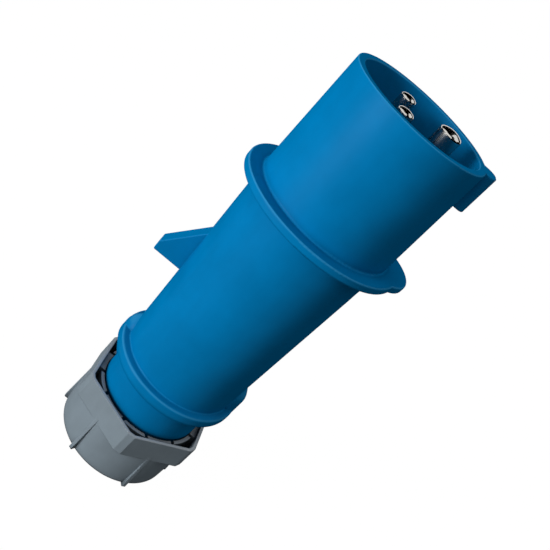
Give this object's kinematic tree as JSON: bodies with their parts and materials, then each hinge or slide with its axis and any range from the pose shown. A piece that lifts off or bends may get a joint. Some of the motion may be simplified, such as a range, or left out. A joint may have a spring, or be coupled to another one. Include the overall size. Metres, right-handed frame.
{
  "type": "industrial pin and sleeve plug",
  "caption": "Straight plug with a keyed sleeve round its contact pins, a round flange, a tapering housing with a fin, and a hexagonal cable gland nut.",
  "frame": {"origin": "centre of the gland nut's rear face, which the plug stands on", "axes": "+Z along the plug from the cable end to the pins, +Y towards the fin at 12 o'clock, -Y towards the key and the earth pin at 6 o'clock"},
  "size_m": [0.0538, 0.0594, 0.1454],
  "materials": {
    "blue_polyamide": "moulded, satin",
    "grey_polyamide": "moulded, fine matt",
    "black_polyamide": "moulded",
    "carrier_polyamide": "moulded",
    "seal_rubber": "matt",
    "nickel_brass": "nickel plated, polished",
    "zinc_steel": "zinc plated"
  },
  "bodies": {
    "nut": {"gland_nut": "grey_polyamide"},
    "cage": {"clamping_cage": "black_polyamide", "cable_seal": "seal_rubber", "seal_liner": "seal_rubber"},
    "shell": {"housing": "blue_polyamide", "housing_gasket": "seal_rubber", "front_sleeve": "blue_polyamide", "contact_carrier": "carrier_polyamide", "pin_retainer": "carrier_polyamide", "retainer_screw_1": "zinc_steel", "retainer_screw_2": "zinc_steel", "earth_pin": "nickel_brass", "line_pin": "nickel_brass", "neutral_pin": "nickel_brass"},
    "slide": {"locking_slide": "blue_polyamide"},
    "earth_plate": {"earth_clamp_plate": "zinc_steel"},
    "earth_screw": {"earth_terminal_screw": "zinc_steel"},
    "line_plate": {"line_clamp_plate": "zinc_steel"},
    "line_screw": {"line_terminal_screw": "zinc_steel"},
    "neutral_plate": {"neutral_clamp_plate": "zinc_steel"},
    "neutral_screw": {"neutral_terminal_screw": "zinc_steel"}
  },
  "joints": [
    {"name": "gland_turn", "type": "hinge", "parent": "nut", "child": "cage", "pos_m": [0, 0, 0], "axis": [0, 0, 1], "range_deg": [0, 1440]},
    {"name": "gland_travel", "type": "slide", "parent": "cage", "child": "shell", "axis": [0, 0, 1], "range_m": [0, 0.01001]},
    {"name": "slide_travel", "type": "slide", "parent": "shell", "child": "slide", "axis": [0, 0, -1], "range_m": [0, 0.0033]},
    {"name": "earth_plate_travel", "type": "slide", "parent": "shell", "child": "earth_plate", "axis": [0, 1, 0], "range_m": [0, 0.00238]},
    {"name": "earth_screw_turn", "type": "hinge", "parent": "earth_plate", "child": "earth_screw", "pos_m": [0, -0.00881, 0.084], "axis": [0, 1, 0], "range_deg": [0, 1224.1]},
    {"name": "line_plate_travel", "type": "slide", "parent": "shell", "child": "line_plate", "axis": [-0.866, -0.5, 0], "range_m": [0, 0.00238]},
    {"name": "line_screw_turn", "type": "hinge", "parent": "line_plate", "child": "line_screw", "pos_m": [0.00763, 0.00441, 0.084], "axis": [-0.866, -0.5, 0], "range_deg": [0, 1224.1]},
    {"name": "neutral_plate_travel", "type": "slide", "parent": "shell", "child": "neutral_plate", "axis": [0.866, -0.5, 0], "range_m": [0, 0.00238]},
    {"name": "neutral_screw_turn", "type": "hinge", "parent": "neutral_plate", "child": "neutral_screw", "pos_m": [-0.00763, 0.00441, 0.084], "axis": [0.866, -0.5, 0], "range_deg": [0, 1224.1]}
  ],
  "couplings": [
    {"joint": "gland_travel", "follows": "gland_turn", "m_per_rad": 0.00039789},
    {"joint": "earth_screw_turn", "follows": "earth_plate_travel", "rad_per_m": 8976},
    {"joint": "line_screw_turn", "follows": "line_plate_travel", "rad_per_m": 8976},
    {"joint": "neutral_screw_turn", "follows": "neutral_plate_travel", "rad_per_m": 8976}
  ]
}
